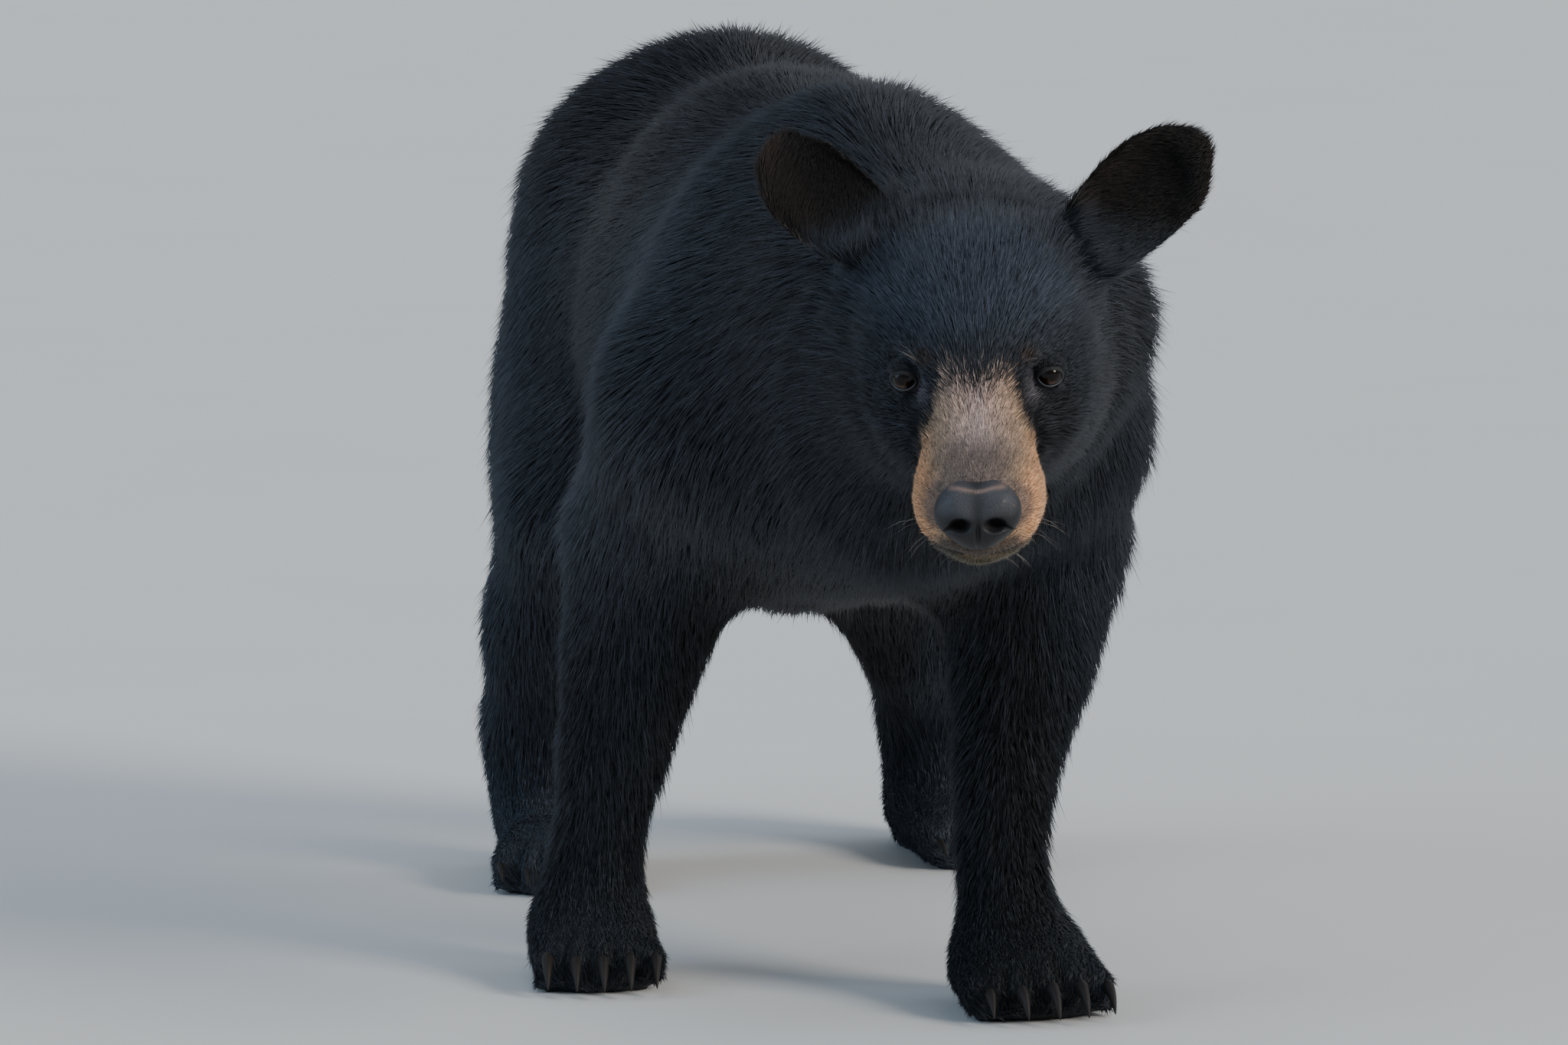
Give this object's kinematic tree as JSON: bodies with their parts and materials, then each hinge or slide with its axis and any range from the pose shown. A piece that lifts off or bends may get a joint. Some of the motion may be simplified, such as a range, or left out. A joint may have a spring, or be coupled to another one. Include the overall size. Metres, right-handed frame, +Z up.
{
  "type": "black bear",
  "caption": "Life-size still model of a young American black bear standing on all fours, head turned to its right, with a black coat and a tan muzzle.",
  "frame": {"origin": "on the floor under the middle of the animal's bounding box", "axes": "+Z up, the bear faces -Y, its left side is +X"},
  "size_m": [0.4184, 1.1346, 0.5996],
  "materials": {
    "coat": "soft black fur with a blue-grey sheen",
    "muzzle_coat": "short tan and brown hair",
    "ear_coat": "short dense black-brown fur",
    "nose_skin": "moist, finely grained bare skin",
    "eye": "wet gloss",
    "claw": "satin horn"
  },
  "bodies": {
    "root": {"chest": "coat", "claw_forepaw_left_1": "claw", "claw_forepaw_left_2": "claw", "claw_forepaw_left_3": "claw", "claw_forepaw_left_4": "claw", "claw_forepaw_left_5": "claw", "claw_forepaw_right_1": "claw", "claw_forepaw_right_2": "claw", "claw_forepaw_right_3": "claw", "claw_forepaw_right_4": "claw", "claw_forepaw_right_5": "claw", "claw_hindpaw_left_1": "claw", "claw_hindpaw_left_2": "claw", "claw_hindpaw_left_3": "claw", "claw_hindpaw_left_4": "claw", "claw_hindpaw_left_5": "claw", "claw_hindpaw_right_1": "claw", "claw_hindpaw_right_2": "claw", "claw_hindpaw_right_3": "claw", "claw_hindpaw_right_4": "claw", "claw_hindpaw_right_5": "claw", "ear_left": "ear_coat", "ear_right": "ear_coat", "eye_left": "eye", "eye_right": "eye", "forearm_left": "coat", "forearm_right": "coat", "forepaw_left": "coat", "forepaw_right": "coat", "head": "coat", "hindpaw_left": "coat", "hindpaw_right": "coat", "lower_jaw": "muzzle_coat", "muzzle": "muzzle_coat", "neck": "coat", "nose": "nose_skin", "rump": "coat", "shank_left": "coat", "shank_right": "coat", "tail": "coat", "thigh_left": "coat", "thigh_right": "coat", "trunk": "coat", "upper_arm_left": "coat", "upper_arm_right": "coat"}
  },
  "joints": []
}
